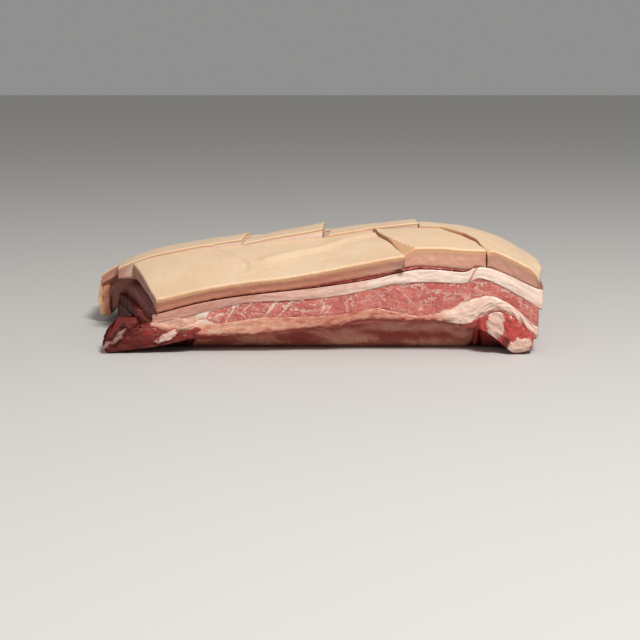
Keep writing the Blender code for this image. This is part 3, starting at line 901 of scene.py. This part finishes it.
# blood on these lumps is partly painted shade, most on the flap at the far left.
lump("trim_red_lump", *LEAN, -104.5, 12.2, 8.3, 6.0, -76.4, 4.6, -8, 1.0, blood=0.3)
lump("trim_gloss_fat", *FAT, -93.5, 10.8, 7.0, 2.8, -77.0, 3.6, 24, 2.0, uneven=0.3, pale=0.15)
lump("trim_gloss_fat_2", *FAT, -80.0, 16.0, 7.5, 2.0, -76.4, 3.0, 14, 3.0, uneven=0.3, pale=0.2)
lump("trim_lean_strip", *LEAN, -80.0, 12.8, 11.0, 2.2, -76.2, 3.2, 16, 4.0, blood=0.2)
lump("flap_top_lean", *LEAN, -117.0, 17.6, 6.0, 3.2, -76.8, 4.0, 16, 7.0, uneven=0.35, blood=0.7)
lump("blood_pocket", seam_lean, "dark_muscle", 96.0, 19.4, 9.5, 3.8, -75.4, 3.4, 14, 9.0)
lump("hanging_lean", seam_lean, "dark_muscle", 27.0, 19.6, 13.5, 1.9, -75.6, 2.6, 5, 10.0)

# %% [markdown]
# ## The scored rind
# A knife has cut the rind into blocks that stay joined by the fat below, and some
# blocks stand a little higher than their neighbours.  Each block is a piece of its
# own, so its edges can be rounded and its cut sides can show the fat.  The cuts are
# those of the frame.

# %% The cuts
CUT = 0.1                       # the cuts have closed to this width
FRONT, ROW_1, ROW_2, BACK = -78.0, -14.0, 28.0, 80.0
SLANTED_CUT = [(-82, 52), (-52, 45), (-28, 37), (-14, 33)]
CURVED_CUT = [(-78, 102), (-52, 98), (-36, 91), (-18, 77), (-14, 64.5), (28, 64.5)]
LEFT_END = [(FRONT - 3, -100), (ROW_1, -122)]
RIGHT_END = [(-78, 134), (-55, 138.5), (0, 140), (78, 134)]


def beside(cut, gap):
    return [(depth, length + gap) for depth, length in cut]


def across(near, far, first, last, gap):
    """A straight cut through a row of blocks."""
    return [(near, first + gap), (far, last + gap)]


half = CUT / 2
BLOCKS = {
    "front_long": (FRONT - 3, ROW_1 - half, LEFT_END, beside(SLANTED_CUT, -half)),
    "front_short": (FRONT + 3, -18 - half, beside(SLANTED_CUT, half), beside(CURVED_CUT, -half)),
    "right": (FRONT, ROW_2 - half, beside(CURVED_CUT, half), RIGHT_END),
}
ROWS = {
    "middle_left": (ROW_1, ROW_2, (-132, -137), (-51, -47)),
    "middle_raised": (ROW_1, ROW_2, (-51, -47), (1.6, 3.6)),
    "middle_crest": (ROW_1, ROW_2, (5.4, 7.4), (63.6, 63.6)),
    "back_left": (ROW_2, BACK, (-149, -150), (-87, -93)),
    "back_second": (ROW_2, BACK + 1, (-87, -93), (-21, -29)),
    "back_third": (ROW_2, BACK, (-21, -29), (47, 39)),
    "back_right": (ROW_2, BACK - 1, (47, 39), (138, 134)),
}
for label, (near, far, left, right) in ROWS.items():
    BLOCKS[label] = (near + half, far - half, across(near, far, *left, half),
                     across(near, far, *right, -half))
print(len(BLOCKS), "blocks of rind")


# %% One block
RIM, FRONT_RIM = 0.7, 1.4       # rounding of the skin's edge, at a cut and in front
CAP = "scored_rind_cap"
CREASE = [(-70, -14), (-62, -27), (-51, -42), (-46, -52), (-45, -60)]
RIDGE = [(-33, -52), (-13, -44), (0, -42), (16, -30), (35, -24)]


def fitted_top(near, far, left, right):
    """A smooth surface through heights measured on a block of the frame."""
    places, found = [], []
    for v in np.linspace(0, 1, 9):
        y = near + 3 + (far - near - 6) * v
        for x in np.linspace(left(y) + 3.5, right(y) - 3.5, 22):
            places.append(((x - left(y)) / (right(y) - left(y)), (y - near) / (far - near)))
            found.append(height_over(CAP, x, y))
    order = (6, 3)
    basis = np.polynomial.chebyshev.chebvander2d
    u, v = 2 * np.array(places).T - 1
    factors = np.linalg.lstsq(basis(u, v, order), np.array(found), rcond=None)[0]
    return lambda u, v: basis(2 * u - 1, 2 * v - 1, order) @ factors


def spread(length, pace, first, last):
    """Places across a block, closer together over its rounded rims."""
    turn = 1 - np.cos(np.linspace(0, math.pi / 2, 6))
    inner = np.linspace(first, length - last, max(3, round((length - first - last) / pace)))
    return np.concatenate([first * turn[:-1], inner, length - last * turn[-2::-1]]) / length


def off_line(x, y, route):
    """Distance from a line of points in plan, above 0 to the left of its way."""
    best = np.full(len(x), 1e3)
    for (x1, y1), (x2, y2) in zip(route, route[1:]):
        dx, dy = x2 - x1, y2 - y1
        t = np.clip(((x - x1) * dx + (y - y1) * dy) / (dx * dx + dy * dy), 0, 1)
        gap = np.hypot(x - x1 - t * dx, y - y1 - t * dy)
        side = np.sign(dx * (y - y1) - dy * (x - x1))
        best = np.where(gap < np.abs(best), gap * side, best)
    return best


def skin_relief(x, y):
    """Low swells of the skin, a faint knife crease and a soft ridge on the front block."""
    flat = columns(x, y)
    swell = 0.35 * cloud(flat, 18, 2, 11.0) + 0.08 * cloud(flat, 4, 2, 12.0)
    front = step(y, -10, -16)
    crease = off_line(x, y, CREASE)
    nick = 0.5 * np.exp(-(crease / 0.8) ** 2)
    swell = swell - front * (nick + 0.8 * step(crease, -8, 0) * step(crease, 1, 0))
    ridge = off_line(x, y, RIDGE)
    return swell + front * 1.6 * np.exp(-(ridge / 4.5) ** 2)


LIFT = {"front_long": 2.2, "front_short": 1.2, "right": 1.2}    # the front edges curl up a little
WHOLE, LEAST_CUT = 1.2, 5.0     # fat left whole below an inner cut, and the cut's least depth
CURL = 1.0                      # a side face turns in by this much at its foot
SIDE_ROWS = 16


def rind_block(label, near, far, left_cut, right_cut, facet=None, pace=1.2):
    def left(y):
        return np.interp(y, *zip(*left_cut))

    def right(y):
        return np.interp(y, *zip(*right_cut))

    middle = (near + far) / 2
    in_front = near < ROW_1 - 20
    near_rim = FRONT_RIM if in_front else RIM
    top = fitted_top(near, far, left, right)
    us = spread(right(middle) - left(middle), pace, RIM, RIM)
    vs = spread(far - near, pace, near_rim, RIM)
    u, v = (grid.ravel() for grid in np.meshgrid(us, vs))
    y = near + (far - near) * v
    wide = right(y) - left(y)
    x = left(y) + wide * u
    side = np.clip(1 - np.minimum(u, 1 - u) * wide / RIM, 0, 1)
    fore = np.clip(1 - (y - near) / near_rim, 0, 1)
    aft = np.clip(1 - (far - y) / RIM, 0, 1)
    round_by = RIM + (near_rim - RIM) * fore
    over = np.clip(np.hypot(side, np.maximum(fore, aft)), 0, 1)
    drop = round_by * (1 - np.sqrt(1 - over ** 2))
    flat = columns(x, y)
    z = top(u, v) - drop + skin_relief(x, y)
    z = z + LIFT.get(label, 0.0) * np.clip(1 - (y - near) / 20, 0, 1) ** 1.5
    z = z + 2.5 * step(x, 130, 139) * step(y, -78, -55) * (1 - step(y, -20, 20))
    below = np.minimum(drop, 1.2) * 0.5
    below = below + (0.9 * drop - below) * fore * in_front
    if facet:
        wide_at = facet["width"] * np.clip(1 - v / facet["reach"], 0, 1) + 0.01
        fall = np.clip(1 - (x - left(y)) / wide_at, 0, 1)
        z = z - facet["depth"] * np.clip(1 - v / facet["reach"], 0, 1) * fall
        below = np.maximum(below, 1.9 * step(fall, 0.0, 0.12))
    shell = Shell()
    ids = shell.ring(np.column_stack([x, y, z]), below=below, flow=flat)
    grid = ids.reshape(len(vs), len(us))
    shell.faces += list(zip(grid[:-1, :-1].ravel(), grid[:-1, 1:].ravel(),
                            grid[1:, 1:].ravel(), grid[1:, :-1].ravel()))
    rim = np.concatenate([grid[0, :-1], grid[:-1, -1], grid[-1, :0:-1], grid[:0:-1, 0]])
    line = flat[rim, :2]
    start = z[rim]
    out = outward(line)
    foot = np.minimum(heights(height_under, CAP, line - out * 2.0) + WHOLE, start - LEAST_CUT)
    front = step(-out[:, 1], 0.5, 0.9) * in_front
    base = heights(height_under, CAP, line - out * 1.2)
    run = run_along(line)
    torn = 0.45 * cloud(columns(run, 0), 3.5, 3, 24.0)
    beyond = line + out * 4.0
    outer = soften(np.array([float(math.isnan(height_over(CAP, x, y))) for x, y in beyond]), 2)
    foot = foot * (1 - outer) + (base - 0.3 + torn) * outer
    lean_to = min(FRONT + 1.2, near + 2.0)       # depth of the front face at its foot
    rings = [rim]
    leftward = step(-out[:, 0], 0.5, 0.9)
    far_left_shade = step(-line[:, 0], 118, 132) * (1 - leftward)       # painted shade on the far left end
    ruddy_and_shade = 0.55 * step(line[:, 0], 60, 0)       # pinker flesh and painted shade on the front face towards the left
    for share in np.linspace(0, 1, SIDE_ROWS + 1)[1:]:
        deep = (start - foot) * share
        inward = front * (line[:, 1] - lean_to) * step(share, 0.0, 0.9)
        curl = CURL * step(share, 0.8, 1.0) ** 2
        ripple = 0.25 * cloud(columns(run, deep), (6, 3, 1), 2, 13.0)
        push = inward - curl - 0.35 * bump(share) + ripple * min(1.0, 4 * share)
        plan = line + out * push[:, None]
        left_up = start - foot - deep
        thin = 2.2 - 1.2 * front                 # the tinted rim is thin at an inner cut
        # The foot of a front face, the left faces and the far left end get painted shade in the blush and
        # blood facts.
        flush_and_shade = front * (ruddy_and_shade + 0.4 * step(left_up, 1.0, 0.0)) + 0.45 * leftward + 0.3 * far_left_shade
        pale = (0.0 if in_front else 0.85) * (1 - leftward) * (1 - 0.8 * far_left_shade)
        facts = {"below": 0.6 + 0.6 * front + deep * thin, "flow": columns(run, deep), "pale": pale,
                 "blush": np.clip(flush_and_shade, 0, 1), "blood": 0.3 * leftward + 0.25 * far_left_shade}
        rings.append(shell.ring(np.column_stack([plan, start - deep]), **facts))
    shell.wall(rings)
    shell.lid(rings[-1])
    return shell.piece("rind_" + label, rind, "rind", 60.0)


# The front edge of one cut is a slanted facet: width and depth in millimetres in front,
# and the share of the block over which it runs out.
FACETS = {"front_short": {"width": 8.0, "depth": 4.0, "reach": 0.55}}
blocks = [rind_block(label, *sizes, facet=FACETS.get(label)) for label, sizes in BLOCKS.items()]
for block in blocks:
    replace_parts(block, CAP)


# %% The corner that hangs down at the far left
HANGING = (29.5, 76.0, -150.4, -142.5, 5.0)     # depth from, to; outer, inner; foot


def hanging_corner():
    near, far, outer, inner, foot = HANGING
    corners = np.array([(outer, near), (inner, near), (inner, far), (outer, far)])
    line = soften(even(corners, 0.5), 1.6)
    line = line[:len(line) // 2 * 2]
    out = outward(line)
    run = run_along(line)
    top = height_over(CAP, outer + 3, (near + far) / 2) - 1.2
    shell, rings = Shell(), []
    for share in np.linspace(0, 1, 40):
        height = foot + (top - foot) * share
        pinch = 1.2 * (1 - math.sqrt(1 - (1 - min(share * 12, 1)) ** 2))
        ripple = 0.35 * cloud(columns(run, height), (6, 6, 1), 2, 25.0)
        bow = 1.4 * bump(share) * np.array([[-1.0, 0.0]])
        plan = line + out * (2.0 * ripple - pinch)[:, None] + bow
        below = np.clip(line[:, 0] - outer, 0, 7) * 1.0
        foot_ripple = 1.8 * cloud(columns(run, 0), 6, 2, 26.0) * (1 - share)
        rings.append(shell.ring(np.column_stack([plan, height + foot_ripple]), below=below,
                                flow=columns(run, height),
                                blush=step(line[:, 0], outer + 2, inner) * 0.75))
    shell.wall(rings)
    shell.lid(rings[0])
    shell.lid(rings[-1])
    return shell.piece("rind_hanging_corner", rind, "rind", 60.0)


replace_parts(hanging_corner(), CAP)

# %% [markdown]
# ## The uncut floor of the rind cap
# Below the cuts the back fat is whole.  It shows at the bottom of each cut and under
# the blocks, so it is a plain layer a little inside them.

# %% The floor of the cap
SCORE_FLOOR = 0.40              # share of the cap that the cuts leave whole
FLOOR_PLAN = [(-97, -75), (129, -74), (134.5, -50), (137, 0), (131, 77), (-146, 77), (-145.5, 31),
              (-134, 30), (-129, -12), (-118, -14)]


def cap_floor():
    line = spaced(soften(even(np.array(FLOOR_PLAN, float), 0.5), 3), 1.2, 1.5, 2.0)
    run = run_along(line)

    def thick_at(place):
        low, high = heights(height_under, CAP, place), heights(height_over, CAP, place)
        return np.clip((high - low) * SCORE_FLOOR, 2.0, 6.0)

    inside = line - outward(line) * 3
    foot = soften(heights(height_under, CAP, inside), 4)
    thick = soften(thick_at(inside), 4)
    shell, rings = Shell(), []
    for up in np.linspace(0, 1, 7):
        # Left faces of the floor are darkened: painted shade on the shaded left end.
        rings.append(shell.ring(np.column_stack([line, foot + thick * up]), below=0 * run + 6,
                                flow=columns(run, thick * up), blush=0 * run + 0.6,
                                blood=0.75 * step(-outward(line)[:, 0], 0.4, 0.9)))
    shell.wall(rings)
    heart = np.column_stack([np.clip(line[:, 0], -60, 80), 0 * run])

    def deep_facts(place, high):
        # The hidden floor darkens towards the far left: painted shade.
        return {"flow": np.column_stack([place, 0 * high]), "below": 0 * high + 6,
                "blush": 0 * high + 0.5, "blood": 0.6 * step(-place[:, 0], 85, 110)}

    shell.close(rings[-1], line, heart, lambda p: heights(height_under, CAP, p) + thick_at(p),
                [(2.0, False), (4.0, False), (8.0, False), (0.3, False), (0.3, False), (0.4, False),
                 (0.5, True)], deep_facts)
    shell.close(rings[0], line, heart, lambda p: heights(height_under, CAP, p),
                [(2.0, True), (0.3, True), (0.5, True)], deep_facts)
    return shell.piece("cap_floor", rind, "rind")


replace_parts(cap_floor(), CAP)

# %% [markdown]
# ## Floor, light and camera
# A pale floor and a large soft lamp from the upper right show the wet faces without
# hard shadows.  A second weak lamp opens the shaded left end.

# %% The studio
def plain(name, colour, rough):
    made = bpy.data.materials.new(name)
    made.use_nodes = True
    shader = made.node_tree.nodes["Principled BSDF"]
    shader.inputs["Base Color"].default_value = (*colour, 1)
    shader.inputs["Roughness"].default_value = rough
    return made


def stage_floor():
    mesh = bpy.data.meshes.new("floor")
    size = 6.0
    mesh.from_pydata([(-size, -size, 0), (size, -size, 0), (size, size, 0), (-size, size, 0)],
                     [], [(0, 1, 2, 3)])
    mesh.materials.append(plain("pale floor", (0.62, 0.61, 0.59), 0.7))
    item = bpy.data.objects.new("floor", mesh)
    item.location.z = -0.0003
    bpy.context.scene.collection.objects.link(item)


def lamp(name, place, size, power, colour, aim=(0, 0, 0.03)):
    data = bpy.data.lights.new(name, "AREA")
    data.shape, data.size, data.energy, data.color = "DISK", size, power, colour
    item = bpy.data.objects.new(name, data)
    item.location = place
    item.rotation_euler = (Vector(aim) - Vector(place)).to_track_quat("-Z", "Y").to_euler()
    bpy.context.scene.collection.objects.link(item)


stage_floor()
lamp("key", (0.42, -0.92, 1.3), 0.45, 24, (1.0, 0.97, 0.94))
lamp("fill", (-1.0, -1.1, 0.9), 1.2, 1.2, (1.0, 0.97, 0.95))
world = bpy.data.worlds.new("studio")
world.use_nodes = True
world.node_tree.nodes["Background"].inputs["Color"].default_value = (0.88, 0.87, 0.86, 1)
world.node_tree.nodes["Background"].inputs["Strength"].default_value = 0.32
bpy.context.scene.world = world

# %% The camera
TILT = math.radians(10.0)
DISTANCE = 1.0
AIM = Vector((0, 0, 0.0066))
camera = bpy.data.objects.new("camera", bpy.data.cameras.new("camera"))
look = Vector((0, math.cos(TILT), -math.sin(TILT)))
camera.location = AIM - look * DISTANCE
camera.rotation_euler = look.to_track_quat("-Z", "Y").to_euler()
camera.data.sensor_width = 36.0
camera.data.lens = 84.375
camera.data.clip_start = 0.01
bpy.context.scene.collection.objects.link(camera)
bpy.context.scene.camera = camera
bpy.context.scene.view_settings.view_transform = "Standard"
